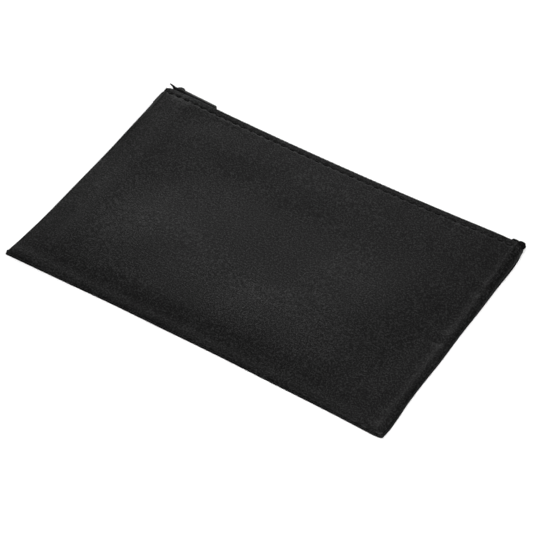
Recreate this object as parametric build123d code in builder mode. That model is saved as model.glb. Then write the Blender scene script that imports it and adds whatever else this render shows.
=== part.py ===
"""LiPo safe bag: a flat zip pouch in fire-resistant cloth, lying on its back wall.

Frame, in millimetres: +X runs along the zipper, +Y points out of the zipped mouth, +Z is up.
The origin is the centre of the flat face that the pouch rests on, at z = 0.
"""
from build123d import *
import math
import os

# ---- the pouch: overall size and cloth ----
bag_length = 240.0          # along the zipper
bag_width = 150.0           # from the bottom seam to the zipped edge
cloth = 0.6                 # woven outer cloth
lining = 0.4                # fibreglass lining
lining_gap = 0.2            # between the lining's edges and the folds beside them
left_edge = -bag_length / 2
right_edge = bag_length / 2
bottom_edge = -bag_width / 2
hem_edge = 74.4             # folded edge of both panels beside the zipper
corner_radius = 5.0

# ---- the seams: allowances are turned inwards on three sides ----
seam_width = 4.5            # width of the folded allowance
back_seam_top = 1.1         # top of the back panel's folded allowance
front_seam_bottom = 1.7     # underside of the front panel's folded allowance
front_seam_top = 3.0        # outer height of the pouch along its seams
hem_height = 8.2            # top of the front panel along the zipper
crown_height = 9.0          # top of the front panel in the middle
zipper_room = 71.4          # past here only the level hem reaches over the zipper
hem_flat = 63.0             # the hem is level from here to its folded edge
crown_flat = 56.0           # the crown is level up to here
side_shoulder = 6.5         # from a side edge to where its steep slope ends
side_crown = 22.0           # from a side edge to the level crown
bottom_shoulder = 9.0       # the same two distances at the bottom seam
bottom_crown = 23.0
bottom_shoulder_height = 6.8
shoulder_shift = 0.66       # an inner shoulder moves in by this share of the wall
crown_shift = 0.33
side_slope = 0.8            # rise of the inner face over the folded allowance, at the sides
side_wall = 1.6             # and its drop there, in wall thicknesses
bottom_slope = 0.42         # the same two at the bottom seam
bottom_wall = 1.3
opening_margin = 2.0        # the cavity runs this far out past the folded edges
cavity_start = 1.0          # and starts this far below the seam

# ---- the threads ----
thread = 0.5                # width of a topstitch
stitch_pitch = 5.6
stitch_length = 3.6
stitch_height = 0.25
groove_depth = 0.25         # of the groove that keeps the back row off the table
groove_margin = 0.1         # beside the thread in that groove
table_gap = 0.02            # from the back row's threads to the rest face
topstitch_y = 70.4          # the row of stitches that holds the zip tape
topstitch_reach = 112.0     # how far the row runs each way from the middle
seam_thread_inset = 1.8     # the sewing line, in from the outer edge

# ---- the zipper: it stands upright in the mouth, facing +Y ----
chain_z = 4.1               # height of the line where the two coils meet
tape = 0.4
tape_y = 73.3               # inner face of both upright tape strips
tape_seam_y = 62.2          # inner edge of the tapes, under the hems
tape_gap = 1.0              # from the chain line to each tape's edge
tape_reach = 118.5          # half the length of the upright strips
front_tape_reach = 113.0    # half the length of the part sewn under the hem
chain_start = -110.7        # first loop, just behind the closed slider's wedge
chain_end = 113.0
coil_depth = 1.6            # how far a coil stands out from its tape
coil_back = 2.1             # from the chain line to the spine of a coil
coil_spine = 0.5
coil_head = 0.6             # how far the loops reach over the chain line
loop_pitch = 1.5
loop_width = 0.5
cord_height = 0.9           # filler cord inside each coil
cord_depth = 0.6
coil_stitch_depth = 0.25
coil_stitch_length = 2.2
coil_thread = 0.3
cord_gap = 0.05             # round the cord inside its coil

# ---- the slider and its pull tab ----
slider_x = -110.2           # middle of the slider with the zipper closed
slider_length = 8.2
slider_half_width = 2.9     # inner plate, under the hem
outer_half_width = 3.6      # outer plate, in the open
slider_shoulder = 1.6       # how far the slider's ends are drawn in, along its length
slider_draw = 1.0           # and how much narrower its nose is on each side
slider_corner = 0.6
plate = 0.8
inner_plate_y = 72.0
outer_plate_y = 75.8
lip_y = 74.1                # edge of the guide lips, clear of the tape
lip_width = 0.5
lip_length = 5.6
lip_shift = 0.9             # the lips sit behind the wedge, off the slider's middle
lip_inset = 0.1             # in from the inner plate's sides
wedge_length = 2.6
wedge_half_width = 0.8
bridge_half_length = 3.05
bridge_foot = 0.9
bridge_leg = 1.2            # straight part of each foot, from the outer plate
bridge_overlap = 0.1        # of the feet with the outer plate
bridge_half_width = 1.2
bridge_under = 78.7
bridge_top = 80.1
pivot_y = 77.5              # axis of the pull tab's crossbar
pivot_radius = 0.55
tab_thickness = 1.0
tab_half_width = 2.5
tab_length = 26.0           # from the crossbar's axis to the square end
tab_lean = 2.8              # degrees that the tab leans in towards the cloth
eye_length = 3.7            # from the axis to the far side of the eye
eye_half_width = 1.6
slot_start = 19.8           # the small slot near the tab's end
slot_length = 3.6
slot_half_width = 0.5
slot_corner = 0.4
tab_corner = 0.9

# ---- the bar tacks that close the zipper's ends ----
tack_places = {"left_zip_tack": -117.5, "right_zip_tack": 115.5}
tack_width = 1.0
tack_height = 5.0
tack_depth = 0.4


def cloth_dome(side_profile, end_profile):
    """The closed form under a length profile (X, Z) and a width profile (Y, Z)."""
    with BuildPart() as dome:
        with BuildSketch(Plane.XZ):
            with BuildLine():
                Polyline(*side_profile, close=True)
            make_face()
        extrude(amount=bag_width, both=True)
        with BuildSketch(Plane.YZ):
            with BuildLine():
                Polyline(*end_profile, close=True)
            make_face()
        extrude(amount=bag_length, both=True, mode=Mode.INTERSECT)
    return dome.part


def length_profile(inset, drop, base):
    """Half heights mirrored about the middle: seam, shoulder and crown along X."""
    reach = right_edge - inset
    shoulder = right_edge - side_shoulder - drop * shoulder_shift
    crown = right_edge - side_crown
    seam_z = front_seam_top + side_slope * inset - side_wall * drop
    right_half = [
        (crown, crown_height - drop),
        (shoulder, hem_height - drop),
        (reach, seam_z),
        (reach, base),
    ]
    left_half = [(-x, z) for x, z in reversed(right_half)]
    return left_half + right_half


def width_profile(inset, drop, base, mouth):
    """Seam, shoulder, crown and level hem along Y, open on the mouth side."""
    start = bottom_edge + inset
    seam_z = front_seam_top + bottom_slope * inset - bottom_wall * drop
    return [
        (start, base),
        (start, seam_z),
        (bottom_edge + bottom_shoulder + drop * shoulder_shift, bottom_shoulder_height - drop),
        (bottom_edge + bottom_crown + drop * crown_shift, crown_height - drop),
        (crown_flat, crown_height - drop),
        (hem_flat, hem_height - drop),
        (mouth, hem_height - drop),
        (mouth, base),
    ]


def dash_row(plane, count, pitch, length, width, height):
    """A row of stitches along a plane's local X, each a separate thread."""
    with BuildPart() as row:
        with BuildSketch(plane):
            with GridLocations(pitch, pitch, count, 1):
                Rectangle(length, width)
        extrude(amount=height)
    return row.part


# ---- outer panels ----
mouth_side = hem_edge + opening_margin
below_seam = front_seam_bottom - cavity_start
cavity = cloth_dome(
    length_profile(seam_width, cloth, below_seam),
    width_profile(seam_width, cloth, below_seam, mouth_side),
)

with BuildPart() as front_panel:
    add(cloth_dome(
        length_profile(0, 0, front_seam_bottom),
        width_profile(0, 0, front_seam_bottom, hem_edge),
    ))
    upright = front_panel.edges().filter_by(Axis.Z)
    fillet(upright.group_by(Axis.Y)[0], corner_radius)
    add(cavity, mode=Mode.SUBTRACT)
    with BuildSketch(Plane.XY):
        with Locations((0, (zipper_room + mouth_side) / 2)):
            Rectangle(bag_length, mouth_side - zipper_room)
    extrude(amount=hem_height - cloth, mode=Mode.SUBTRACT)
front_panel.part.label = "front_panel"

with BuildPart() as back_panel:
    panel_depth = hem_edge - bottom_edge
    panel_middle = (hem_edge + bottom_edge) / 2
    with BuildSketch(Plane.XY):
        with Locations((0, panel_middle)):
            Rectangle(bag_length, panel_depth)
    extrude(amount=back_seam_top)
    fillet(back_panel.edges().filter_by(Axis.Z).group_by(Axis.Y)[0], corner_radius)
    well_start = bottom_edge + seam_width
    with BuildSketch(Plane.XY.offset(cloth)):
        with Locations((0, (well_start + tape_seam_y) / 2)):
            Rectangle(bag_length - 2 * seam_width, tape_seam_y - well_start)
        with Locations((0, (tape_seam_y + hem_edge) / 2)):
            Rectangle(bag_length, hem_edge - tape_seam_y)
    extrude(amount=back_seam_top, mode=Mode.SUBTRACT)
    with BuildSketch(Plane.XY):
        with Locations((0, topstitch_y)):
            Rectangle(2 * topstitch_reach + stitch_pitch, thread + 2 * groove_margin)
    extrude(amount=groove_depth, mode=Mode.SUBTRACT)
back_panel.part.label = "back_panel"

# ---- linings ----
lining_edge = tape_seam_y - lining_gap
lining_cavity = cloth_dome(
    length_profile(seam_width + lining, cloth + lining, below_seam - cavity_start),
    width_profile(seam_width + lining, cloth + lining, below_seam - cavity_start, mouth_side),
)
with BuildPart() as front_lining:
    add(cavity)
    add(lining_cavity, mode=Mode.SUBTRACT)
    split(bisect_by=Plane.XY.offset(front_seam_bottom), keep=Keep.TOP)
    split(bisect_by=Plane(origin=(0, lining_edge, 0), z_dir=(0, 1, 0)), keep=Keep.BOTTOM)
front_lining.part.label = "front_lining"

with BuildPart() as back_lining:
    lining_start = bottom_edge + seam_width + lining_gap
    with BuildSketch(Plane.XY.offset(cloth)):
        with Locations((0, (lining_start + lining_edge) / 2)):
            Rectangle(bag_length - 2 * seam_width - 2 * lining_gap, lining_edge - lining_start)
    extrude(amount=lining)
back_lining.part.label = "back_lining"

# ---- zip tapes: one leg is sewn under the hem, the other stands in the mouth ----
tape_outer = tape_y + tape


def zip_tape(hem_z, edge_z, sewn_reach):
    """A tape with a level leg whose outer face is at hem_z, and an upright leg to edge_z."""
    inner_z = hem_z - tape if hem_z > chain_z else hem_z + tape
    with BuildPart() as strip:
        with BuildSketch(Plane.XY.offset(min(hem_z, inner_z))):
            with Locations((0, (tape_seam_y + tape_outer) / 2)):
                Rectangle(2 * sewn_reach, tape_outer - tape_seam_y)
        extrude(amount=tape)
        with BuildSketch(Plane.XY.offset(min(hem_z, edge_z))):
            with Locations((0, (tape_y + tape_outer) / 2)):
                Rectangle(2 * tape_reach, tape)
        extrude(amount=abs(hem_z - edge_z))
    return strip


front_zip_tape = zip_tape(hem_height - cloth, chain_z + tape_gap, front_tape_reach)
front_zip_tape.part.label = "front_zip_tape"
back_zip_tape = zip_tape(cloth, chain_z - tape_gap, tape_reach)
back_zip_tape.part.label = "back_zip_tape"


# ---- coils: loops on a spine, with a filler cord and a row of stitches ----
def outward(y):
    """A plane that faces out of the mouth, with its local Y pointing down."""
    return Plane(origin=(0, y, chain_z), x_dir=(1, 0, 0), z_dir=(0, 1, 0))


def coil(side, offset):
    """One coil; side is +1 above the chain line and -1 below it."""
    first = chain_start + offset
    count = int((chain_end - first) / loop_pitch)
    last = first + (count - 1) * loop_pitch
    middle = (first + last) / 2
    down = -side
    with BuildPart() as loops:
        with BuildSketch(outward(tape_outer)):
            with Locations((middle, down * (coil_back - coil_spine / 2))):
                Rectangle(last - first + loop_width, coil_spine)
            with Locations((middle, down * (coil_back - coil_head) / 2)):
                with GridLocations(loop_pitch, 1, count, 1):
                    Rectangle(loop_width, coil_back + coil_head)
        extrude(amount=coil_depth)
        with BuildSketch(outward(tape_outer + (coil_depth - cord_depth) / 2)):
            with Locations((middle, down * (coil_head + cord_height / 2))):
                Rectangle(last - first + 2 * loop_pitch, cord_height)
        extrude(amount=cord_depth, mode=Mode.SUBTRACT)
    return loops


def coil_cord(side):
    """The filler cord that fills the inside of a coil."""
    with BuildPart() as cord:
        with BuildSketch(outward(tape_outer + (coil_depth - cord_depth) / 2 + cord_gap)):
            with Locations(((chain_start + chain_end) / 2, -side * (coil_head + cord_height / 2))):
                Rectangle(chain_end - chain_start, cord_height - 2 * cord_gap)
        extrude(amount=cord_depth - 2 * cord_gap)
    return cord


def coil_stitching(side):
    """The thread that holds a coil to its tape, as one row on the coil's spine."""
    count = int((chain_end - chain_start) / (2 * loop_pitch)) - 1
    middle = (chain_start + chain_end) / 2
    row_z = chain_z + side * (coil_back - coil_spine / 2)
    row_plane = Plane(
        origin=(middle, tape_outer + coil_depth, row_z), x_dir=(1, 0, 0), z_dir=(0, 1, 0)
    )
    return dash_row(
        row_plane, count, 2 * loop_pitch, coil_stitch_length, coil_thread, coil_stitch_depth
    )


front_coil = coil(1, 0)
front_coil.part.label = "front_coil"
back_coil = coil(-1, loop_pitch / 2)
back_coil.part.label = "back_coil"
front_coil_cord = coil_cord(1)
front_coil_cord.part.label = "front_coil_cord"
back_coil_cord = coil_cord(-1)
back_coil_cord.part.label = "back_coil_cord"

# ---- slider: two plates joined by a wedge, guide lips and a bridge for the pull tab ----
half_slider = slider_length / 2


def slider_outline(half_width):
    """A plate's outline, drawn in at both ends."""
    nose = half_width - slider_draw
    return [
        (-half_slider, -nose),
        (-half_slider + slider_shoulder, -half_width),
        (half_slider - slider_shoulder, -half_width),
        (half_slider, -nose),
        (half_slider, nose),
        (half_slider - slider_shoulder, half_width),
        (-half_slider + slider_shoulder, half_width),
        (-half_slider, nose),
    ]


wedge_outline = [
    (-half_slider, -wedge_half_width),
    (-half_slider + wedge_length * 0.5, -wedge_half_width),
    (-half_slider + wedge_length, 0),
    (-half_slider + wedge_length * 0.5, wedge_half_width),
    (-half_slider, wedge_half_width),
]
lip_middle = slider_half_width - lip_width / 2 - lip_inset
bridge_foot_y = outer_plate_y + plate
bridge_shoulder_y = bridge_foot_y + bridge_leg
bridge_start_y = bridge_foot_y - bridge_overlap


def slider_plane(y):
    """A plane on the slider's own middle, facing out of the mouth."""
    return Plane(origin=(slider_x, y, chain_z), x_dir=(1, 0, 0), z_dir=(0, 1, 0))


with BuildPart() as slider_body:
    for plate_y, half_width in ((inner_plate_y, slider_half_width), (outer_plate_y, outer_half_width)):
        with BuildSketch(slider_plane(plate_y)) as plate_sketch:
            with BuildLine():
                Polyline(*slider_outline(half_width), close=True)
            make_face()
            fillet(plate_sketch.vertices(), slider_corner)
        extrude(amount=plate)
    with BuildSketch(slider_plane(inner_plate_y)):
        with BuildLine():
            Polyline(*wedge_outline, close=True)
        make_face()
    extrude(amount=outer_plate_y + plate - inner_plate_y)
    with BuildSketch(slider_plane(lip_y)):
        with Locations((lip_shift, lip_middle), (lip_shift, -lip_middle)):
            Rectangle(lip_length, lip_width)
    extrude(amount=outer_plate_y - lip_y)
    with BuildSketch(Plane(origin=(slider_x, 0, chain_z), x_dir=(1, 0, 0), z_dir=(0, 0, 1))):
        under_shoulder_y = bridge_shoulder_y - bridge_overlap
        for half_length, shoulder_y, top_y, mode in (
            (bridge_half_length, bridge_shoulder_y, bridge_top, Mode.ADD),
            (bridge_half_length - bridge_foot, under_shoulder_y, bridge_under, Mode.SUBTRACT),
        ):
            with BuildLine():
                Line((-half_length, bridge_start_y), (-half_length, shoulder_y))
                ThreePointArc((-half_length, shoulder_y), (0, top_y), (half_length, shoulder_y))
                Line((half_length, shoulder_y), (half_length, bridge_start_y))
                Line((half_length, bridge_start_y), (-half_length, bridge_start_y))
            make_face(mode=mode)
    extrude(amount=bridge_half_width, both=True)
slider_body.part.label = "slider_body"

# ---- pull tab: a flat plate whose crossbar runs under the bridge ----
lean = math.radians(tab_lean)
tab_plane = Plane(
    origin=(slider_x, pivot_y, chain_z),
    x_dir=(math.cos(lean), -math.sin(lean), 0),
    z_dir=(math.sin(lean), math.cos(lean), 0),
)
with BuildPart() as pull_tab:
    with BuildSketch(tab_plane.offset(-tab_thickness / 2)):
        with Locations((tab_length / 2, 0)):
            RectangleRounded(tab_length, 2 * tab_half_width, tab_corner)
        with Locations((eye_length / 2, 0)):
            Rectangle(eye_length, 2 * eye_half_width, mode=Mode.SUBTRACT)
        with Locations((slot_start + slot_length / 2, 0)):
            RectangleRounded(slot_length, 2 * slot_half_width, slot_corner, mode=Mode.SUBTRACT)
    extrude(amount=tab_thickness)
    with BuildSketch(Plane(origin=(slider_x, pivot_y, chain_z - tab_half_width))):
        Circle(pivot_radius)
    extrude(amount=2 * tab_half_width)
pull_tab.part.label = "pull_tab"

# ---- stitching ----
stitch_count = int(2 * topstitch_reach / stitch_pitch) + 1
front_row = Plane(origin=(0, topstitch_y, hem_height))
front_topstitch = dash_row(front_row, stitch_count, stitch_pitch, stitch_length, thread, stitch_height)
front_topstitch.label = "front_topstitch"
back_row = Plane(origin=(0, topstitch_y, table_gap))
back_topstitch = dash_row(
    back_row, stitch_count, stitch_pitch, stitch_length, thread, groove_depth - table_gap
)
back_topstitch.label = "back_topstitch"

side_seam_middle = (bottom_edge + tape_seam_y) / 2
side_seam_count = int((tape_seam_y - bottom_edge - 2 * seam_width) / stitch_pitch)
bottom_seam_count = int((bag_length - 4 * seam_width) / stitch_pitch)
seam_lines = {
    "left_seam_stitching": (left_edge + seam_thread_inset, side_seam_middle, (0, 1, 0), side_seam_count),
    "right_seam_stitching": (right_edge - seam_thread_inset, side_seam_middle, (0, 1, 0), side_seam_count),
    "bottom_seam_stitching": (0, bottom_edge + seam_thread_inset, (1, 0, 0), bottom_seam_count),
}
seam_rows = []
for name, (x, y, along, count) in seam_lines.items():
    seam_plane = Plane(origin=(x, y, back_seam_top), x_dir=along, z_dir=(0, 0, 1))
    row = dash_row(seam_plane, count, stitch_pitch, stitch_length, thread, stitch_height)
    row.label = name
    seam_rows.append(row)

coil_threads = []
for name, side in (("front_coil_stitching", 1), ("back_coil_stitching", -1)):
    row = coil_stitching(side)
    row.label = name
    coil_threads.append(row)

# ---- bar tacks that close the zipper's two ends ----
tacks = []
for name, x in tack_places.items():
    with BuildPart() as tack:
        with BuildSketch(outward(tape_outer)):
            with Locations((x, 0)):
                Rectangle(tack_width, tack_height)
        extrude(amount=tack_depth)
    tack.part.label = name
    tacks.append(tack.part)

# ---- write one file for each piece ----
pieces = [
    front_panel.part, back_panel.part, front_lining.part, back_lining.part,
    front_zip_tape.part, back_zip_tape.part, front_coil.part, back_coil.part,
    front_coil_cord.part, back_coil_cord.part, slider_body.part, pull_tab.part,
    front_topstitch, back_topstitch, *seam_rows, *coil_threads, *tacks,
]
os.makedirs("parts", exist_ok=True)
for piece in pieces:
    export_step(piece, f"parts/{piece.label}.step")
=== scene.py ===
import math

import bpy
import numpy as np
from mathutils import Matrix, Vector

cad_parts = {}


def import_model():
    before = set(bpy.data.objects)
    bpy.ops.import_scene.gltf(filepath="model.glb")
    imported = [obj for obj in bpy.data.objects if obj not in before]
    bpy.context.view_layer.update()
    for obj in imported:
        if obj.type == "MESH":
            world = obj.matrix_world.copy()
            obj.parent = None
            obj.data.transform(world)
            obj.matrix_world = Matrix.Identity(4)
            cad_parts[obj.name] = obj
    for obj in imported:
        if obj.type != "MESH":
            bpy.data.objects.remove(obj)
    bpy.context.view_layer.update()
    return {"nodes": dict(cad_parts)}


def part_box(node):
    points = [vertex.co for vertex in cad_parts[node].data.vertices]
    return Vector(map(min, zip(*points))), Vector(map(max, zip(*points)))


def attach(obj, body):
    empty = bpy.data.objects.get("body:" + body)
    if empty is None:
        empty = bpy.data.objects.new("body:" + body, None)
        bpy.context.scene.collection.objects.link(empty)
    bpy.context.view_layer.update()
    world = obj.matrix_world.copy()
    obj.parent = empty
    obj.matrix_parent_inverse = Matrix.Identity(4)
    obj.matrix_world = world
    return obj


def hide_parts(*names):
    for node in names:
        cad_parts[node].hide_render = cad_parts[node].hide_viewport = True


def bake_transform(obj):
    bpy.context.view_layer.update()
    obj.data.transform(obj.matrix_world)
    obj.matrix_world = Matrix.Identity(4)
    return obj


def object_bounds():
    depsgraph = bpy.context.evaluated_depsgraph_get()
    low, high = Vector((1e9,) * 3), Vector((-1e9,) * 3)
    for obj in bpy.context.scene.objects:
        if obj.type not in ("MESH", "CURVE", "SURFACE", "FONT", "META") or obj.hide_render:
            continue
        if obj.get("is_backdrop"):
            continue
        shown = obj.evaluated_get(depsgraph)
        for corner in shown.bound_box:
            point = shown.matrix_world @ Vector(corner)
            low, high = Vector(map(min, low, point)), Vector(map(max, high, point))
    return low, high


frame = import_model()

MM = 0.001


# ---------------------------------------------------------------- sizes from the frame, in mm
def box_mm(node):
    low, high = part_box(node)
    return np.array(low) / MM, np.array(high) / MM


front_low, front_high = box_mm("front_panel")
coil_low, coil_high = box_mm("back_coil")
front_coil_low, front_coil_high = box_mm("front_coil")
slider_low, slider_high = box_mm("slider_body")
stitch_low, stitch_high = box_mm("front_topstitch")

HALF = front_high[0]                  # half the length of the pouch
BOTTOM = front_low[1]                 # the bottom seam
FOLD = front_high[1]                  # the folded edge beside the zipper
STITCH_Y = (stitch_low[1] + stitch_high[1]) / 2
CHAIN_Z = (slider_low[2] + slider_high[2]) / 2
TAPE_FACE = coil_low[1]               # outer face of the upright tapes
COIL_DEPTH = coil_high[1] - coil_low[1]
MOUTH_TOP = 8.2                       # height of the front wall along the zipper
MIDDLE_TOP = 5.0                      # and in the hollow behind it
SEAM_Z = 1.4                          # height of the sewn line round three sides
EDGE_TOP = 3.5                        # top of the rolled edge
RIGHT_END_TOP = 6.4                   # and at the zipper's right end, which stands higher
ROLL = 1.8                            # how far in the rolled edge reaches
CLOTH = 0.5
LINING = 0.35
PITCH = 5.6                           # from one topstitch to the next
STITCHES = 41                         # in one row
FIRST_STITCH = stitch_low[0] + 1.8    # middle of the first topstitch
TABLE_GAP = 0.02                      # nothing of the pouch comes lower than this


# ---------------------------------------------------------------- materials
class Nodes:
    """A few short ways to write a node tree."""

    def __init__(self, name):
        self.material = bpy.data.materials.new(name)
        self.material.use_nodes = True
        self.tree = self.material.node_tree
        self.shader = self.tree.nodes["Principled BSDF"]
        self.place = self.add("ShaderNodeTexCoord").outputs["Object"]

    def add(self, kind, **settings):
        node = self.tree.nodes.new(kind)
        for key, value in settings.items():
            setattr(node, key, value)
        return node

    def link(self, source, target):
        self.tree.links.new(source, target)

    def math(self, operation, a, b=None, c=None):
        node = self.add("ShaderNodeMath", operation=operation)
        for socket, value in zip(node.inputs, (a, b, c)):
            if value is None:
                continue
            if isinstance(value, (int, float)):
                socket.default_value = value
            else:
                self.link(value, socket)
        return node.outputs[0]

    def noise(self, size_mm, detail=2.0, roughness=0.5, stretch=(1, 1, 1)):
        mapping = self.add("ShaderNodeMapping")
        mapping.inputs["Scale"].default_value = [s / (size_mm * MM) for s in stretch]
        self.link(self.place, mapping.inputs["Vector"])
        node = self.add("ShaderNodeTexNoise")
        node.inputs["Scale"].default_value = 1.0
        node.inputs["Detail"].default_value = detail
        node.inputs["Roughness"].default_value = roughness
        self.link(mapping.outputs[0], node.inputs["Vector"])
        return node.outputs["Fac"]

    def spread(self, value, low, high, to_low=0.0, to_high=1.0):
        node = self.add("ShaderNodeMapRange")
        node.inputs["From Min"].default_value = low
        node.inputs["From Max"].default_value = high
        node.inputs["To Min"].default_value = to_low
        node.inputs["To Max"].default_value = to_high
        self.link(value, node.inputs["Value"])
        return node.outputs[0]

    def ramp(self, value, dark, light, dark_at=0.3, light_at=0.7):
        node = self.add("ShaderNodeValToRGB")
        node.color_ramp.elements[0].position = dark_at
        node.color_ramp.elements[1].position = light_at
        node.color_ramp.elements[0].color = (*dark, 1)
        node.color_ramp.elements[1].color = (*light, 1)
        self.link(value, node.inputs[0])
        return node.outputs[0]

    def weave(self, yarn_mm, twill=False):
        """A woven height from 0 to 1, as yarns that pass over and under each other."""
        axes = self.add("ShaderNodeSeparateXYZ")
        self.link(self.place, axes.inputs[0])
        turn = math.pi / (yarn_mm * MM)
        across = self.math("SINE", self.math("MULTIPLY", axes.outputs[0], turn))
        if twill:
            diagonal = self.math("ADD", axes.outputs[0], axes.outputs[1])
            along = self.math("SINE", self.math("MULTIPLY", diagonal, turn))
        else:
            along = self.math("SINE", self.math("MULTIPLY", axes.outputs[1], turn))
        crossed = self.math("MULTIPLY", across, along)
        return self.math("MULTIPLY_ADD", crossed, 0.5, 0.5)

    def bump(self, height, depth_mm):
        node = self.add("ShaderNodeBump")
        node.inputs["Strength"].default_value = 1.0
        node.inputs["Distance"].default_value = depth_mm * MM
        self.link(height, node.inputs["Height"])
        self.link(node.outputs[0], self.shader.inputs["Normal"])

    def set(self, **values):
        for key, value in values.items():
            self.shader.inputs[key.replace("_", " ")].default_value = value


def grey(value, warm=0.0):
    return (value * (1 + warm), value, value * (1 - warm))


def pouch_cloth():
    """Matte black cloth with a fine plain weave, a speckled grain and broad patches of random tone that are
    partly painted sheen.
    """
    m = Nodes("pouch_cloth")
    speckle = m.noise(0.95, detail=2.0, roughness=0.8)
    # broad 38 mm patches: random tone, partly painted sheen that lightens and darkens the cloth
    tone_and_sheen_patches = m.noise(38, detail=1.5)
    weave = m.weave(0.55)
    tone = m.math("ADD", m.spread(speckle, 0.38, 0.66, -0.6, 0.8), m.spread(tone_and_sheen_patches, 0.3, 0.7, 0.1, 0.25))
    m.link(m.ramp(tone, grey(0.0003), grey(0.0185), 0.0, 1.0), m.shader.inputs["Base Color"])
    m.link(m.spread(speckle, 0.35, 0.65, 0.50, 0.34), m.shader.inputs["Roughness"])
    height = m.math("ADD", m.math("MULTIPLY", weave, 0.15), m.math("MULTIPLY", speckle, 1.0))
    m.bump(height, 0.16)
    m.set(Specular_IOR_Level=0.11, Sheen_Weight=0.01, Sheen_Roughness=0.5)
    return m.material


def lining_cloth():
    """Grey coated glass-fibre cloth, seen when the mouth is open."""
    m = Nodes("lining_cloth")
    weave = m.weave(0.9)
    stains = m.noise(25, detail=3.0)
    m.link(m.ramp(stains, (0.30, 0.30, 0.29), (0.43, 0.43, 0.42)), m.shader.inputs["Base Color"])
    m.link(m.spread(weave, 0, 1, 0.4, 0.65), m.shader.inputs["Roughness"])
    m.bump(weave, 0.12)
    m.set(Specular_IOR_Level=0.5)
    return m.material


def tape_cloth():
    """Herringbone zip tape."""
    m = Nodes("zip_tape_cloth")
    weave = m.weave(0.42, twill=True)
    fuzz = m.noise(0.4)
    m.link(m.ramp(fuzz, grey(0.0005), grey(0.005)), m.shader.inputs["Base Color"])
    m.link(m.spread(fuzz, 0.3, 0.7, 0.55, 0.8), m.shader.inputs["Roughness"])
    m.bump(weave, 0.07)
    m.set(Specular_IOR_Level=0.05)
    return m.material


def nylon():
    """Black monofilament."""
    m = Nodes("zip_nylon")
    scratches = m.noise(0.8, stretch=(1, 4, 4))
    m.link(m.ramp(scratches, grey(0.003), grey(0.010)), m.shader.inputs["Base Color"])
    m.link(m.spread(scratches, 0.3, 0.7, 0.28, 0.45), m.shader.inputs["Roughness"])
    m.bump(scratches, 0.02)
    m.set(Specular_IOR_Level=0.3)
    return m.material


def thread_fibre():
    """Twisted black polyester thread, coloured darker than the cloth: its own black, and painted shade for
    the sunken stitches.
    """
    m = Nodes("black_thread_and_painted_shade")
    twist = m.noise(0.22, detail=1.0, stretch=(2.5, 1, 1))
    # the near-black ramp is partly painted shade: it darkens the stitch dashes as if they lay in shadow
    m.link(m.ramp(twist, grey(0.0002), grey(0.0015)), m.shader.inputs["Base Color"])
    m.link(m.spread(twist, 0.3, 0.7, 0.7, 0.9), m.shader.inputs["Roughness"])
    m.bump(twist, 0.06)
    m.set(Specular_IOR_Level=0.02)
    return m.material


def lacquer(name, dark, light):
    """Lacquered zinc, lighter in random patches."""
    m = Nodes(name)
    light_patches = m.noise(1.6, detail=4.0, roughness=0.65)
    smudge = m.noise(4.0)
    m.link(m.ramp(light_patches, grey(dark), grey(light), 0.4, 0.8), m.shader.inputs["Base Color"])
    m.link(m.spread(smudge, 0.3, 0.7, 0.45, 0.6), m.shader.inputs["Roughness"])
    m.bump(light_patches, 0.02)
    m.set(Specular_IOR_Level=0.1)
    return m.material


CLOTH_LOOK = pouch_cloth()
LINING_LOOK = lining_cloth()
TAPE_LOOK = tape_cloth()
NYLON_LOOK = nylon()
THREAD_LOOK = thread_fibre()
METAL_LOOK = {
    "slider_body": lacquer("black_lacquer", 0.001, 0.02),
    # the pull tab's lighter grey is painted highlight, standing in for the bright edge of a black tab
    "pull_tab": lacquer("tab_lacquer_painted_highlight", 0.025, 0.06),
}


# ---------------------------------------------------------------- mesh helpers
def smooth(t):
    """A soft step from 0 to 1."""
    t = np.clip(t, 0, 1)
    return t * t * (3 - 2 * t)


SAG_MIDDLE, SAG_REACH = 2, 98   # the stretch of the zipped edge that sags, along x
SAG_START = 30                  # the sag fades out towards this y
SAG_IN, SAG_DOWN = 0.8, 1.3     # how far the edge bends in, and how far its top sinks


def sagged(points):
    """The zipped edge sinks and bends in a little between its two ends."""
    x, y, z = np.asarray(points, float).T
    share = np.clip(1 - ((x - SAG_MIDDLE) / SAG_REACH) ** 2, 0, 1)
    near = smooth((y - SAG_START) / (FOLD - SAG_START))
    return np.stack([x, y - SAG_IN * share * near, z - SAG_DOWN * share * near * z / MOUTH_TOP], axis=1)


def build(name, points, faces, material, slot):
    """A smooth mesh object from points in mm."""
    mesh = bpy.data.meshes.new(name)
    mesh.from_pydata((sagged(points) * MM).tolist(), [], faces)
    mesh.polygons.foreach_set("use_smooth", [True] * len(mesh.polygons))
    mesh.materials.append(material)
    mesh.update()
    piece = bpy.data.objects.new(name, mesh)
    bpy.context.collection.objects.link(piece)
    return piece


def grid_faces(rows, columns, start=0, flip=False):
    faces = []
    for r in range(rows - 1):
        for c in range(columns - 1):
            a = start + r * columns + c
            face = (a, a + 1, a + columns + 1, a + columns)
            faces.append(face[::-1] if flip else face)
    return faces


def grid_normals(surface):
    across = np.gradient(surface, axis=1)
    along = np.gradient(surface, axis=0)
    normal = np.cross(across, along)
    return normal / np.maximum(np.linalg.norm(normal, axis=2, keepdims=True), 1e-9)


def shell(surface, thickness):
    """Points and faces of a closed cloth layer: surface outside, and its copy thickness inside."""
    rows, columns, _ = surface.shape
    inside = surface - grid_normals(surface) * thickness
    flip = thickness < 0
    points = [surface.reshape(-1, 3), inside.reshape(-1, 3)]
    faces = grid_faces(rows, columns, 0, flip) + grid_faces(rows, columns, rows * columns, not flip)
    index = np.arange(rows * columns).reshape(rows, columns)
    ring = list(index[0, :-1]) + list(index[:-1, -1]) + list(index[-1, :0:-1]) + list(index[:0:-1, 0])
    base = 2 * rows * columns
    points += [layer[ring] for layer in points]
    count = len(ring)
    for k in range(count):
        a, b = base + k, base + (k + 1) % count
        face = (b, a, a + count, b + count)
        faces.append(face[::-1] if flip else face)
    return np.concatenate(points), faces


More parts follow.
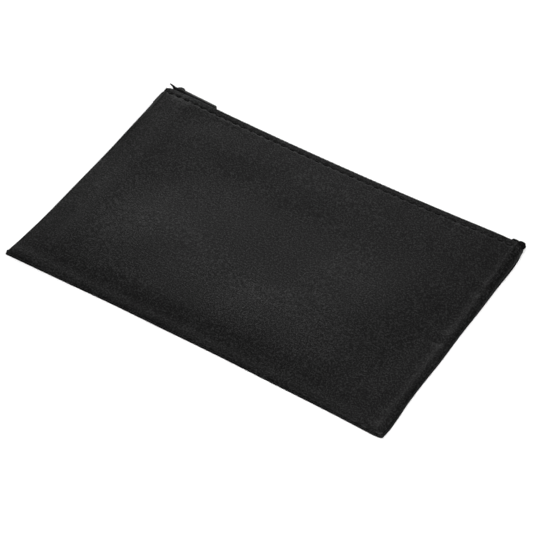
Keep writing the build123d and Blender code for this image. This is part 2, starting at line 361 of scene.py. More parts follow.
def tube(line, radius, sides=6):
    """Points and faces of a closed round tube along a line of points, for one strand."""
    line = np.asarray(line, float)
    tangent = np.gradient(line, axis=0)
    tangent /= np.linalg.norm(tangent, axis=1, keepdims=True)
    side = np.cross(tangent, (0.31, 0.42, 0.85))
    side /= np.linalg.norm(side, axis=1, keepdims=True)
    up = np.cross(tangent, side)
    turns = np.linspace(0, 2 * math.pi, sides, endpoint=False)
    radii = np.broadcast_to(radius, len(line))
    rings = (
        line[:, None]
        + radii[:, None, None] * np.cos(turns)[None, :, None] * side[:, None]
        + radii[:, None, None] * np.sin(turns)[None, :, None] * up[:, None]
    )
    faces = []
    for r in range(len(line) - 1):
        for s in range(sides):
            a, b = r * sides + s, r * sides + (s + 1) % sides
            faces.append((a, b, b + sides, a + sides))
    faces.append(tuple(range(sides))[::-1])
    last = (len(line) - 1) * sides
    faces.append(tuple(range(last, last + sides)))
    return rings.reshape(-1, 3), faces


def joined(parts):
    points, faces, start = [], [], 0
    for part_points, part_faces in parts:
        points.append(part_points)
        faces += [tuple(i + start for i in face) for face in part_faces]
        start += len(part_points)
    return np.concatenate(points), faces


# ---------------------------------------------------------------- the shape of the pouch
def bump_at(x, y, centre, size, turn=0.0):
    """1 at centre, falling away over size = (along, across), turned by some degrees."""
    c, s = math.cos(math.radians(turn)), math.sin(math.radians(turn))
    dx, dy = x - centre[0], y - centre[1]
    along, across = (dx * c + dy * s) / size[0], (dy * c - dx * s) / size[1]
    return np.exp(-(along**2 + across**2))


def rise(distance, reach, power=1.4):
    """From 0 at an edge towards 1 well inside, most of it within reach."""
    return 1 - np.exp(-((np.maximum(distance, 0) / reach) ** power))


LEFT_REACH, RIGHT_REACH, BOTTOM_REACH = 11, 24, 15      # from each seam to the level crown
LEFT_END_REACH, RIGHT_END_REACH = 5.5, 4.8              # the same along the zipped edge
MOUTH_RISE_START = 8                                    # the crown climbs to the mouth from here
MOUTH_RISE_POWER = 1.5


def crown_height(x, y):
    """Height of the front wall's face, before the cloth's own creases."""
    edges = rise(HALF + x, LEFT_REACH) * rise(HALF - x, RIGHT_REACH) * rise(y - BOTTOM, BOTTOM_REACH)
    middle = EDGE_TOP + (MIDDLE_TOP - EDGE_TOP) * edges
    from_side = np.minimum((HALF + x) / LEFT_END_REACH, (HALF - x) / RIGHT_END_REACH)
    end_top = np.where(x < 0, EDGE_TOP, RIGHT_END_TOP)
    mouth = end_top + (MOUTH_TOP - end_top) * smooth(from_side)
    near_mouth = np.clip((y - MOUTH_RISE_START) / (FOLD - MOUTH_RISE_START), 0, 1) ** MOUTH_RISE_POWER
    return middle * (1 - near_mouth) + mouth * near_mouth


# distance in from each seam, and lift
RIDGES = {"right": (3.6, 0.32), "left": (17.0, 0.9), "bottom": (4.0, 0.18)}


def seam_ridges(x, y):
    """The turned-in seam allowance lifts the cloth, and its end shows as a soft step."""
    height = 0.0
    distances = {"right": HALF - x, "left": HALF + x, "bottom": y - BOTTOM}
    for side, (width, lift) in RIDGES.items():
        distance = distances[side]
        ridge = np.exp(-(((distance - width) / (0.55 * width)) ** 2))
        valley = np.exp(-(((distance - 2.4 * width) / (0.9 * width)) ** 2))
        height = height + lift * ridge - 0.35 * lift * valley
    return height


# each wave: height, centre, reach along and across, and turn in degrees
WAVES = (
    (1.10, (0, -57), (85, 22), 2),
    (0.40, (-66, -30), (26, 16), 25),
    (0.60, (72, 2), (30, 22), 40),
    (-0.35, (-52, 34), (42, 17), 28),
    (-0.40, (96, -34), (26, 18), 50),
    (0.30, (-88, 50), (22, 12), 30),
    (0.50, (-92, 22), (20, 20), 0),
    (-0.45, (10, 32), (80, 16), 0),
)


def waves_at(x, y, waves):
    return sum(height * bump_at(x, y, centre, size, turn) for height, centre, size, turn in waves)


def undulation(x, y):
    """Broad soft waves of a pouch that holds almost nothing."""
    return waves_at(x, y, WAVES)


def stitch_row(x, y):
    """The valley that the topstitching pulls into the cloth, deepest where a thread lies."""
    across = (y - STITCH_Y) / 0.7
    turn = 2 * math.pi * (x - FIRST_STITCH) / PITCH
    under_thread = smooth(0.4 + 0.9 * np.cos(turn))
    uneven = 0.85 + 0.15 * np.sin(x / 7.3) * np.sin(x / 2.9)
    puckers = 0.09 * np.cos(turn + 0.8) * np.exp(-(((y - STITCH_Y - 1.9) / 1.3) ** 2))
    inner = 0.07 * np.sin(turn / 2.3) * np.exp(-(((y - STITCH_Y + 4) / 3) ** 2))
    return -(0.1 + 0.65 * under_thread * uneven) * np.exp(-(across**2)) + puckers + inner


GRID_STEP = 1.5


def edge_distances(total, end_fine):
    """Distances from the roll to total, closer together by the edge and by a fine end."""
    start = np.concatenate([[2.4, 2.9, 3.5, 4.2], np.arange(5.0, 14.0, 0.9)])
    end = total - start[::-1] if end_fine else np.zeros(0)
    low = start[-1] + 1.0
    high = end[0] - 1.0 if end_fine else total
    middle = np.linspace(low, high, int((high - low) / GRID_STEP))
    return np.concatenate([start, middle, end])


HEM_RADIUS = 0.62
HEM_DEPTH = 8.5             # how far the folded edge goes back under itself
ROLL_STEPS = 17
ROLL_SHAPE = 2.4            # a slightly squarer roll than a circle's 2
SEAM_INSET = 1.7            # how far the sewn line lies inside the outline
WAIST = 0.42                # share of the height where a roll stands out furthest


def roll_profile():
    """(distance in from the outline, share of the height) round a rolled edge, seam first."""
    under = np.radians(np.linspace(-82, -10, 7))
    over = np.radians(np.linspace(0, 90, ROLL_STEPS - len(under) - 1))
    out = np.cos(over) ** (2 / ROLL_SHAPE)
    up = np.sin(over) ** (2 / ROLL_SHAPE)
    distance = np.concatenate([[SEAM_INSET], SEAM_INSET * 0.9 * (1 - np.cos(under)), ROLL * (1 - out)])
    share = np.concatenate([[0.0], WAIST * (1 + np.sin(under)), WAIST + (1 - WAIST) * up])
    return distance, share


ROLL_IN, ROLL_RISE = roll_profile()


def length_lines():
    """Distances from the left edge and the height share of each grid line along x."""
    middle = edge_distances(2 * HALF, True)
    distance = np.concatenate([ROLL_IN, middle, 2 * HALF - ROLL_IN[::-1]])
    share = np.concatenate([ROLL_RISE, np.ones(len(middle)), ROLL_RISE[::-1]])
    return distance, share


def width_lines():
    """The same from the bottom edge along y, close together again beside the mouth."""
    span = FOLD - BOTTOM
    middle = edge_distances(span - 12, False)
    near_mouth = np.concatenate([
        np.linspace(span - 11, span - 5.5, 7), np.arange(span - 5.0, span - HEM_RADIUS, 0.35)
    ])
    distance = np.concatenate([ROLL_IN, middle, near_mouth])
    share = np.concatenate([ROLL_RISE, np.ones(len(middle) + len(near_mouth))])
    return distance, share


def side_outline(y):
    """How far in from the full length the left and right edges stand at each y."""
    left = 1.2 - 1.5 * np.abs((y - 2) / 68) ** 3 + 0.1 * np.sin(y / 9.0)
    waves = 0.12 * np.sin(y / 6.2 + 0.6) + 0.12 * np.sin(y / 14.0)
    right = 0.35 - 1.5 * smooth((-y - 44) / 26) + waves
    return left, right


def bottom_outline(x):
    """How far in the bottom edge stands at each x."""
    return 1.55 * np.clip(1 - (x / 116) ** 2, 0, 1) + 0.08 * np.sin(x / 11.0)


# which corner, its shift along x and y, and how sharply the shift fades along each
CORNERS = (
    ("right", "bottom", (-0.8, 1.2), (60, 40)),
    ("left", "mouth", (0.5, -1.4), (60, 30)),
    ("right", "mouth", (-1.7, 0.0), (30, 26)),
)


def plan(distance_x, distance_y):
    """The plan position of a grid of distances from the left and bottom edges."""
    x = distance_x[None, :] - HALF + 0 * distance_y[:, None]
    y = distance_y[:, None] + BOTTOM + 0 * distance_x[None, :]
    u, v = x / HALF, (y - BOTTOM) / (FOLD - BOTTOM)
    left, right = side_outline(y)
    pulled = x + left * np.clip(-u, 0, 1) ** 5 - right * np.clip(u, 0, 1) ** 5
    risen = y + bottom_outline(x) * np.clip(1 - v, 0, 1) ** 7
    near = {
        "left": np.clip(-u, 0, 1),
        "right": np.clip(u, 0, 1),
        "bottom": np.clip(1 - v, 0, 1),
        "mouth": np.clip(v, 0, 1),
    }
    for side, end, (shift_x, shift_y), (fade_x, fade_y) in CORNERS:
        pulled = pulled + shift_x * near[side] ** fade_x * near[end] ** fade_y
        risen = risen + shift_y * near[side] ** fade_x * near[end] ** fade_y
    return pulled, risen


# ---------------------------------------------------------------- cloth simulation
SIM_COLUMNS, SIM_ROWS = 81, 51
SIM_FRAMES = 20
SIM_SHARE = 0.25            # share of the settling that is kept
SIM_CAP = 0.35              # and its limit
FINE_PASSES, BROAD_PASSES = 14, 110    # averaging that takes out sharp folds and the overall lift


def blurred(field, passes):
    """A grid averaged with its neighbours a number of times."""
    for _ in range(passes):
        for axis in (0, 1):
            first = np.take(field, [0], axis=axis)
            last = np.take(field, [-1], axis=axis)
            padded = np.concatenate([first, field, last], axis=axis)
            before = np.take(padded, range(field.shape[axis]), axis=axis)
            after = np.take(padded, range(2, field.shape[axis] + 2), axis=axis)
            field = (before + 2 * field + after) / 4
    return field


def relaxed_cloth():
    """Where the front wall moves when its cloth settles: dx, dy and dz on a grid, in mm."""
    x = np.linspace(-HALF, HALF, SIM_COLUMNS)[None, :] + np.zeros((SIM_ROWS, 1))
    y = np.linspace(BOTTOM, FOLD, SIM_ROWS)[:, None] + np.zeros((1, SIM_COLUMNS))
    z = crown_height(x, y) + undulation(x, y)
    start = np.stack([x, y, z], axis=2)
    faces = grid_faces(SIM_ROWS, SIM_COLUMNS)
    sheet = build("settling_cloth", start.reshape(-1, 3), faces, CLOTH_LOOK, "outer_cloth")
    held = sheet.vertex_groups.new(name="held")
    for i, (px, py) in enumerate(zip(x.ravel(), y.ravel())):
        near = min(HALF - abs(px), py - BOTTOM, (FOLD - py) - 2.0)
        held.add([i], float(1 - smooth((near - 5.0) / 9.0)), "REPLACE")
    cloth = sheet.modifiers.new("cloth", "CLOTH")
    settings = cloth.settings
    settings.quality = 8
    settings.mass = 0.25
    settings.tension_stiffness = 18
    settings.compression_stiffness = 18
    settings.shear_stiffness = 6
    settings.bending_stiffness = 0.25
    settings.shrink_min = -0.012
    settings.use_pressure = True
    settings.uniform_pressure_force = 0.35
    settings.vertex_group_mass = "held"
    settings.effector_weights.gravity = 0
    cloth.collision_settings.use_collision = False
    cloth.point_cache.frame_start, cloth.point_cache.frame_end = 1, SIM_FRAMES
    scene = bpy.context.scene
    for step in range(1, SIM_FRAMES + 1):
        scene.frame_set(step)
    settled = sheet.evaluated_get(bpy.context.evaluated_depsgraph_get()).to_mesh()
    end = np.zeros(len(settled.vertices) * 3)
    settled.vertices.foreach_get("co", end)
    moved = (end.reshape(-1, 3) / MM - sagged(start.reshape(-1, 3))).reshape(start.shape)
    sheet.to_mesh_clear()
    bpy.data.objects.remove(sheet)
    scene.frame_set(1)
    moved[:, :, 2] -= blurred(moved[:, :, 2], BROAD_PASSES)
    moved = blurred(moved, FINE_PASSES)
    print("cloth moved", moved.min(axis=(0, 1)).round(2), moved.max(axis=(0, 1)).round(2))
    return SIM_CAP * np.tanh(SIM_SHARE * moved / SIM_CAP)


SETTLED = relaxed_cloth()


def sample(field, x, y):
    """Bilinear value of a simulation grid at plan positions."""
    column = np.clip((x + HALF) / (2 * HALF) * (SIM_COLUMNS - 1), 0, SIM_COLUMNS - 1.001)
    row = np.clip((y - BOTTOM) / (FOLD - BOTTOM) * (SIM_ROWS - 1), 0, SIM_ROWS - 1.001)
    c, r = column.astype(int), row.astype(int)
    fc, fr = (column - c)[..., None], (row - r)[..., None]
    low = field[r, c] * (1 - fc) + field[r, c + 1] * fc
    high = field[r + 1, c] * (1 - fc) + field[r + 1, c + 1] * fc
    return low * (1 - fr) + high * fr


# small creases that run in from the right seam, written like the waves
CREASES = (
    (-0.45, (116, -6), (6, 1.6), 8),
    (-0.40, (114, 34), (8, 2.2), -12),
    (0.35, (113, 40), (8, 2.4), -12),
    (0.30, (115, 0), (7, 2.0), 8),
)


def front_height(x, y):
    """Height of the front wall's outer face."""
    inside = smooth((HALF - np.abs(x) - 4) / 20) * smooth((y - BOTTOM - 3) / 16) * smooth((FOLD - y - 6) / 26)
    flat = crown_height(x, y) + undulation(x, y) * inside + seam_ridges(x, y) * smooth((FOLD - y) / 9)
    return flat + sample(SETTLED, x, y)[..., 2] * inside + waves_at(x, y, CREASES) + stitch_row(x, y)


def turned_edge(edge, up):
    """The half round of a folded edge; up is -1 where it turns down and 1 where it turns up."""
    turns = np.linspace(0, math.pi, 8)[1:]
    return [
        edge + np.array([0, HEM_RADIUS * math.sin(t), up * HEM_RADIUS * (1 - math.cos(t))]) for t in turns
    ]


def front_surface(low, high):
    """The outer cloth of the front wall between two x positions, folded edge included."""
    distance_x, share_x = length_lines()
    distance_y, share_y = width_lines()
    keep = (distance_x - HALF >= low - 1e-6) & (distance_x - HALF <= high + 1e-6)
    distance_x, share_x = distance_x[keep], share_x[keep]
    x, y = plan(distance_x, distance_y)
    top = front_height(x, y)
    z = SEAM_Z + (top - SEAM_Z) * share_x[None, :] * share_y[:, None]
    face = np.stack([x, y, z], axis=2)
    edge = face[-1]
    back = []
    for d in np.linspace(1.2, HEM_DEPTH, 10):
        under = SEAM_Z + (front_height(edge[:, 0], edge[:, 1] - d) - SEAM_Z) * share_x - 2 * HEM_RADIUS
        back.append(np.stack([edge[:, 0], edge[:, 1] - d, under], axis=1))
    return np.concatenate([face, np.stack(turned_edge(edge, -1)), np.stack(back)])


BACK_STITCH_LIFT = 0.42     # the topstitching holds the back wall off the table
BACK_WAVE = 0.5


def back_surface():
    """The outer cloth of the back wall, flat on the table, with its rolled seams and folded edge."""
    distance_x, share_x = length_lines()
    distance_y, share_y = width_lines()
    x, y = plan(distance_x, distance_y)
    across = (y - STITCH_Y) / 0.75
    inside = smooth((HALF - np.abs(x)) / 20) * smooth((y - BOTTOM) / 20) * smooth((FOLD - y) / 20)
    wave = BACK_WAVE * (np.sin(x / 17 + y / 23) * 0.5 + 0.5) * inside
    low = TABLE_GAP + (BACK_STITCH_LIFT * np.exp(-(across**2)) + wave)
    z = SEAM_Z + (low - SEAM_Z) * share_x[None, :] * share_y[:, None]
    face = np.stack([x, y, z], axis=2)
    edge = face[-1]
    back = [
        np.stack([edge[:, 0], edge[:, 1] - d, edge[:, 2] + 2 * HEM_RADIUS - 0.02 * d], axis=1)
        for d in np.linspace(1.2, HEM_DEPTH, 6)
    ]
    return np.concatenate([face, np.stack(turned_edge(edge, 1)), np.stack(back)])


# ---------------------------------------------------------------- pieces made in a left and a right half
SPLIT = {"left": (-200.0, 0.0), "right": (0.0, 200.0)}


def on_front(piece):
    """Bakes the piece's placement into its mesh."""
    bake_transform(piece)
    return piece


TAPE_REACH = 118.5


def x_lines():
    """Grid lines along the tapes, with one at the middle."""
    return np.linspace(-TAPE_REACH, TAPE_REACH, int(2 * TAPE_REACH / GRID_STEP / 2) * 2 + 1)


def in_half(x, side):
    low, high = SPLIT[side]
    return x[(x >= low - 1e-6) & (x <= high + 1e-6)]


# ---- outer cloth
for side in SPLIT:
    low, high = SPLIT[side]
    low, high = max(low, -HALF), min(high, HALF)
    points, faces = shell(front_surface(low, high), CLOTH)
    points[:, 2] = np.maximum(points[:, 2], TABLE_GAP)
    wall = build(f"front_wall_cloth_{side}", points, faces, CLOTH_LOOK, "outer_cloth")
    on_front(wall)
    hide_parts("front_panel")

points, faces = shell(back_surface(), -CLOTH)
back_wall = build("back_wall_cloth", points, faces, CLOTH_LOOK, "outer_cloth")
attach(back_wall, "pouch")
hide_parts("back_panel")


# ---- linings
LINING_END = 63.5


def lining_surface(front, low, high):
    x = np.linspace(low, high, int((high - low) / 2.5) + 1)
    y = np.linspace(BOTTOM + 2.2, LINING_END, 58)
    gx, gy = np.meshgrid(np.clip(x, -HALF + 3.0, HALF - 3.0), y)
    rim = np.minimum(np.minimum(HALF - 2.6 - np.abs(gx), gy - BOTTOM - 1.8) / 3.0, 1)
    share = np.sqrt(np.clip(rim, 0.02, 1))
    if front:
        top = front_height(gx, gy) - CLOTH - 0.25
        z = SEAM_Z + 0.35 + (top - SEAM_Z - 0.35) * share
    else:
        z = SEAM_Z - (SEAM_Z - 1.05) * share
    return np.stack([gx, gy, z], axis=2)


for side in SPLIT:
    low, high = max(SPLIT[side][0], -HALF), min(SPLIT[side][1], HALF)
    points, faces = shell(lining_surface(True, low, high), LINING)
    lining = build(f"front_lining_cloth_{side}", points, faces, LINING_LOOK, "lining_cloth")
    on_front(lining)
    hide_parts("front_lining")

points, faces = shell(lining_surface(False, -HALF, HALF), LINING)
back_lining = build("back_lining_cloth", points, faces, LINING_LOOK, "lining_cloth")
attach(back_lining, "pouch")
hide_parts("back_lining")


# ---- zip tapes
TAPE = 0.38
TAPE_IN = 62.5
TAPE_GAP = 0.9              # from the line where the coils meet to a tape's edge
TAPE_BEND = 0.9
TAPE_LIFT = 0.35            # the front tape is pressed this far up into the hem
BACK_TAPE_TOP = 1.75


def hem_line(x, y):
    """Height of the front tape, which is sewn under the hem."""
    y = np.full_like(x, y)
    return front_height(x, y) - stitch_row(x, y) - 2 * HEM_RADIUS - CLOTH + TAPE_LIFT


def tape_surface(x, front):
    """Level under the hem, round a small bend, and upright behind its coil."""
    turns = np.linspace(0, math.pi / 2, 6)
    level_y = np.linspace(TAPE_IN, TAPE_FACE - TAPE_BEND, 12)
    level_z = [hem_line(x, y) if front else np.full_like(x, BACK_TAPE_TOP) for y in level_y]
    hem = level_z[-1]
    sign = 1 if front else -1
    edge_z = CHAIN_Z + sign * TAPE_GAP
    rows = [np.stack([x, np.full_like(x, y), z], axis=1) for y, z in zip(level_y, level_z)]
    for t in turns[1:]:
        y = TAPE_FACE - TAPE_BEND + TAPE_BEND * math.sin(t)
        z = hem - sign * TAPE_BEND * (1 - math.cos(t))
        rows.append(np.stack([x, np.full_like(x, y), z], axis=1))
    start = rows[-1][:, 2]
    for share in np.linspace(0, 1, 5)[1:]:
        z = start + (edge_z - start) * share
        rows.append(np.stack([x, np.full_like(x, TAPE_FACE), z], axis=1))
    return np.stack(rows)


for side in SPLIT:
    points, faces = shell(tape_surface(in_half(x_lines(), side), True), TAPE)
    tape = build(f"front_zip_tape_{side}", points, faces, TAPE_LOOK, "zip_tape")
    on_front(tape)
    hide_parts("front_zip_tape")

points, faces = shell(tape_surface(x_lines(), False), -TAPE)
back_tape = build("back_zip_tape_cloth", points, faces, TAPE_LOOK, "zip_tape")
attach(back_tape, "pouch")
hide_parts("back_zip_tape")


# ---- coils, their cords and their stitching
LOOP = 1.5                  # pitch of the loops
LOOP_POINTS = 14
WIRE = 0.27
COIL_GAP = 0.1              # from a tape to its coil
COIL_BACK, COIL_HEAD = 2.1, 0.6     # how far a coil reaches behind and over the chain line
CORD_HEIGHT, CORD_RADIUS = 1.0, 0.36


def coil_line(start, end, sign, phase):
    """A nylon spiral whose heads reach over the chain line."""
    count = int(round((end - start) / LOOP)) * LOOP_POINTS
    turn = np.linspace(0, (end - start) / LOOP * 2 * math.pi, count)
    middle = sign * (COIL_BACK - COIL_HEAD) / 2
    half_height = (COIL_BACK + COIL_HEAD) / 2 - WIRE
    z = CHAIN_Z + middle - sign * half_height * np.cos(turn)
    y = TAPE_FACE + COIL_GAP + COIL_DEPTH / 2 + (COIL_DEPTH / 2 - WIRE) * np.sin(turn)
    squeeze = 0.18 * LOOP * np.sin(2 * turn)
    x = start + turn / (2 * math.pi) * LOOP + phase - squeeze
    return np.stack([x, y, z], axis=1)


def cord_line(start, end, sign):
    x = np.linspace(start, end, int((end - start) / 3) + 2)
    y = 0 * x + TAPE_FACE + COIL_GAP + COIL_DEPTH / 2
    return np.stack([x, y, 0 * x + CHAIN_Z + sign * CORD_HEIGHT], axis=1)


def coil_thread(start, end, sign):
    """Short stitches over the back of a coil, one for each second loop."""
    strands = []
    for x in np.arange(start + 0.6, end - 2.4, 2 * LOOP):
        t = np.linspace(0, 1, 6)
        y = TAPE_FACE + COIL_DEPTH + 0.02 + 0.16 * np.sin(math.pi * t)
        line = np.stack([x + 2.4 * t, y, 0 * t + CHAIN_Z + sign * 1.75], axis=1)
        strands.append(tube(line, 0.13, 5))
    return joined(strands)


CHAIN_START, CHAIN_END = front_coil_low[0], front_coil_high[0]
loops_left = int((0 - CHAIN_START) / LOOP)
MIDDLE = CHAIN_START + loops_left * LOOP
chain = {"left": (CHAIN_START, MIDDLE), "right": (MIDDLE, CHAIN_END)}
for side, (start, end) in chain.items():
    core = tube(cord_line(start, end, 1), CORD_RADIUS)
    for name, node, slot, look, made in (
        ("front_coil", "front_coil", "zip_coil", NYLON_LOOK, tube(coil_line(start, end, 1, 0), WIRE)),
        ("front_coil_cord", "front_coil_cord", "thread", THREAD_LOOK, core),
        ("front_coil_thread", "front_coil_stitching", "thread", THREAD_LOOK, coil_thread(start, end, 1)),
    ):
        piece = build(f"{name}_{side}", *made, look, slot)
        on_front(piece)
        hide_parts(node)

for name, node, slot, look, made in (
    ("back_coil_spiral", "back_coil", "zip_coil", NYLON_LOOK,
     tube(coil_line(CHAIN_START, CHAIN_END - LOOP, -1, LOOP / 2), WIRE)),
    ("back_coil_core", "back_coil_cord", "thread", THREAD_LOOK,
     tube(cord_line(CHAIN_START, CHAIN_END, -1), CORD_RADIUS)),
    ("back_coil_thread", "back_coil_stitching", "thread", THREAD_LOOK,
     coil_thread(CHAIN_START, CHAIN_END, -1)),
):
    piece = build(name, *made, look, slot)
    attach(piece, "pouch")
    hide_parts(node)


# ---- topstitching
STITCH_HALF, STITCH_RADIUS = 1.5, 0.27
BACK_STITCH_Z = 0.46


def stitches(low, high, front):
    """Threads sunk in the cloth, each a little thicker in its middle."""
    strands = []
    for k in range(STITCHES):
        centre = FIRST_STITCH + k * PITCH
        if not low <= centre < high:
            continue
        lean = 0.12 * math.sin(k * 2.4)
        t = np.linspace(-1, 1, 9)
        x = centre + STITCH_HALF * t
        y = STITCH_Y + lean * t
        rest = front_height(x, y) if front else BACK_STITCH_Z + 0 * x
        sign = 1 if front else -1
        z = rest + sign * (0.10 * (1 - t**4) - 0.05)
        radius = STITCH_RADIUS * np.sqrt(np.clip(1 - (t * 0.96) ** 6, 0.05, 1))
        strands.append(tube(np.stack([x, y, z], axis=1), radius, 7))
    return joined(strands)


for side, (low, high) in SPLIT.items():
    row = build(f"front_topstitch_{side}", *stitches(low, high, True), THREAD_LOOK, "thread")
    on_front(row)
    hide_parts("front_topstitch")
row = build("back_topstitch_row", *stitches(-200, 200, False), THREAD_LOOK, "thread")
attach(row, "pouch")
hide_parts("back_topstitch")


# ---- the seam's own stitches, deep in the groove between the two walls
SEAM_PITCH = 3.4


def seam_row(side):
    """Short threads along the sewn line of one side."""
    strands = []
    t = np.linspace(-1, 1, 6)
    reach = HALF - 6 if side == "bottom" else (FOLD - BOTTOM) / 2 - 7
    middle = 0 if side == "bottom" else (FOLD + BOTTOM) / 2 - 1
    for centre in np.arange(middle - reach, middle + reach, SEAM_PITCH):
        along = centre + 1.1 * t
        left, right = side_outline(along)
        if side == "bottom":
            x, y = along, BOTTOM + bottom_outline(along) + SEAM_INSET - 0.25
        elif side == "left":
            x, y = -HALF + left + SEAM_INSET - 0.25, along
        else:
            x, y = HALF - right - SEAM_INSET + 0.25, along
        strands.append(tube(np.stack([x, y, SEAM_Z + 0 * t], axis=1), 0.2, 5))
    return joined(strands)


for side in ("left", "right", "bottom"):
    row = build(f"{side}_seam_thread", *seam_row(side), THREAD_LOOK, "thread")
    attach(row, "pouch")
    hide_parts(f"{side}_seam_stitching")


# ---- bar tacks at the zipper's ends
TACK_TURNS = 34


def bar_tack(node):
    """Zigzag thread packed across both tapes."""
    low, high = box_mm(node)
    k = np.arange(TACK_TURNS)
    z = np.linspace(low[2] + 0.2, high[2] - 0.2, TACK_TURNS)
    x = np.where(k % 2 == 0, low[0], high[0])
    line = np.stack([x, 0 * x + low[1] + 0.25, z], axis=1)
    places = np.linspace(0, TACK_TURNS - 1, 3 * TACK_TURNS)
    fine = np.stack([np.interp(places, k, line[:, a]) for a in range(3)], axis=1)
    fine[:, 1] += 0.12
    return tube(fine, 0.14, 5)


for node in ("left_zip_tack", "right_zip_tack"):
    tack = build(f"{node}_thread", *bar_tack(node), THREAD_LOOK, "thread")
    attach(tack, "pouch")
    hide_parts(node)


# ---- the turned-in corners: knobs of folded cloth and tape
def knob(name, centre, size, look, slot, seed, lobes=3):
    """A small lumpy fold, as a bent closed form with creases round it."""
    rows, columns = 22, 30
    polar = np.linspace(0.02, math.pi - 0.02, rows)[:, None]
    around = np.linspace(0, 2 * math.pi, columns, endpoint=False)[None, :]
    crease = 1 + 0.10 * np.sin(lobes * around + seed) * np.sin(polar) + 0.06 * np.sin(7 * polar + seed * 2)
    wide = np.sin(polar) ** 0.75 * crease
    points = np.stack([
        centre[0] + size[0] * wide * np.cos(around),
        centre[1] + size[1] * wide * np.sin(around) + 0 * polar,
        centre[2] + size[2] * np.cos(polar) + 0.12 * size[2] * np.sin(2 * around + seed) * np.sin(polar),
    ], axis=2)
    faces = []
    for r in range(rows - 1):
        for c in range(columns):
            a, b = r * columns + c, r * columns + (c + 1) % columns
            faces.append((a, a + columns, b + columns, b))
    faces.append(tuple(range(columns)))
    last = (rows - 1) * columns
    faces.append(tuple(range(last, last + columns))[::-1])
    piece = build(name, points.reshape(-1, 3), faces, look, slot)
    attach(piece, "pouch")
    return piece


knob("right_zip_end_fold", (117.3, 74.6, 5.9), (2.4, 1.6, 3.0), TAPE_LOOK, "zip_tape", 0.7)
knob("right_zip_tape_roll", (114.2, 74.9, 6.2), (3.6, 1.1, 1.9), TAPE_LOOK, "zip_tape", 1.9)
knob("left_zip_end_fold", (-115.6, 73.0, 5.0), (2.6, 1.8, 2.2), CLOTH_LOOK, "outer_cloth", 2.1)
knob("left_bottom_corner_fold", (-120.0, -73.9, 1.9), (1.5, 1.4, 1.7), CLOTH_LOOK, "outer_cloth", 1.3)


TAIL_START, TAIL_END = np.array([-113.2, 76.0, 7.2]), np.array([-116.9, 77.0, 7.6])
TAIL_RADIUS = 0.8


def thread_tail():
    """The loose end of the left tack's thread, which stands up beside the slider."""
    t = np.linspace(0, 1, 12)[:, None]
    line = TAIL_START + (TAIL_END - TAIL_START) * t + np.array([0, 0, 0.3]) * np.sin(math.pi * t)
    radius = TAIL_RADIUS * (1 - 0.55 * t[:, 0])
    piece = build("left_tack_tail", *tube(line, radius, 8), THREAD_LOOK, "thread")
    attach(piece, "pouch")


thread_tail()


# ---- slider and pull tab keep their CAD shape
for node, look in METAL_LOOK.items():
    frame["nodes"][node].data.materials.clear()
    frame["nodes"][node].data.materials.append(look)


# ---------------------------------------------------------------- floor, light and camera
FLOOR_HALF = 6.0


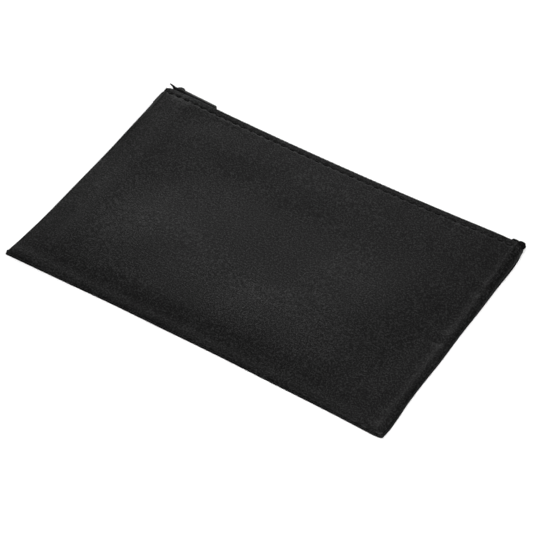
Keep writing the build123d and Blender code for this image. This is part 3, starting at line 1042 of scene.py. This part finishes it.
def floor():
    mesh = bpy.data.meshes.new("floor")
    corners = [(FLOOR_HALF * a, FLOOR_HALF * b, 0) for a, b in ((-1, -1), (1, -1), (1, 1), (-1, 1))]
    mesh.from_pydata(corners, [], [(0, 1, 2, 3)])
    plane = bpy.data.objects.new("floor", mesh)
    bpy.context.collection.objects.link(plane)
    material = bpy.data.materials.new("white_floor")
    material.use_nodes = True
    shader = material.node_tree.nodes["Principled BSDF"]
    shader.inputs["Base Color"].default_value = (0.92, 0.92, 0.92, 1)
    shader.inputs["Roughness"].default_value = 0.9
    shader.inputs["Specular IOR Level"].default_value = 0.1
    mesh.materials.append(material)
    plane.visible_glossy = False        # reflections show the lower half of the world instead
    plane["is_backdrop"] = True


def area_light(name, place, size, power, aim=(0, 0, 0)):
    light = bpy.data.lights.new(name, "AREA")
    light.shape = "DISK"
    light.size = size
    light.energy = power
    lamp = bpy.data.objects.new(name, light)
    lamp.location = place
    lamp.rotation_euler = (Vector(aim) - Vector(place)).to_track_quat("-Z", "Y").to_euler()
    bpy.context.collection.objects.link(lamp)


def world(above, below):
    """A plain soft room, with its own strength above and below the horizon."""
    scene = bpy.context.scene
    scene.world = bpy.data.worlds.new("studio")
    scene.world.use_nodes = True
    tree = scene.world.node_tree
    direction = tree.nodes.new("ShaderNodeTexCoord").outputs["Generated"]
    axes = tree.nodes.new("ShaderNodeSeparateXYZ")
    tree.links.new(direction, axes.inputs[0])
    level = tree.nodes.new("ShaderNodeMapRange")
    level.inputs["From Min"].default_value = -0.1
    level.inputs["From Max"].default_value = 0.1
    level.inputs["To Min"].default_value = below
    level.inputs["To Max"].default_value = above
    tree.links.new(axes.outputs[2], level.inputs["Value"])
    background = tree.nodes["Background"]
    background.inputs["Color"].default_value = (1, 1, 1, 1)
    tree.links.new(level.outputs[0], background.inputs["Strength"])


CAMERA_PLACE = np.array([512.4, -718.4, 976.6]) * MM
CAMERA_AZIMUTH, CAMERA_ELEVATION, CAMERA_ROLL = 35.49, 48.17, -2.79
CAMERA_LENS = 162.7


def camera():
    data = bpy.data.cameras.new("camera")
    data.lens = CAMERA_LENS
    data.sensor_width = 36
    eye = bpy.data.objects.new("camera", data)
    turn = Matrix.Rotation(math.radians(CAMERA_AZIMUTH), 4, "Z")
    tilt = Matrix.Rotation(math.radians(90 - CAMERA_ELEVATION), 4, "X")
    roll = Matrix.Rotation(math.radians(CAMERA_ROLL), 4, "Z")
    eye.matrix_world = Matrix.Translation(CAMERA_PLACE) @ turn @ tilt @ roll
    bpy.context.collection.objects.link(eye)
    bpy.context.scene.camera = eye


floor()
# lights: place and size in metres, then watts
world(0.14, 0.28)
area_light("overhead", (0.5, -0.7, 1.8), 1.8, 50)
area_light("behind", (-1.05, 1.50, 1.00), 0.9, 12.5)
area_light("low_front", (0.95, -1.35, 0.55), 0.8, 7)
camera()
bpy.context.scene.view_settings.view_transform = "Standard"

low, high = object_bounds()
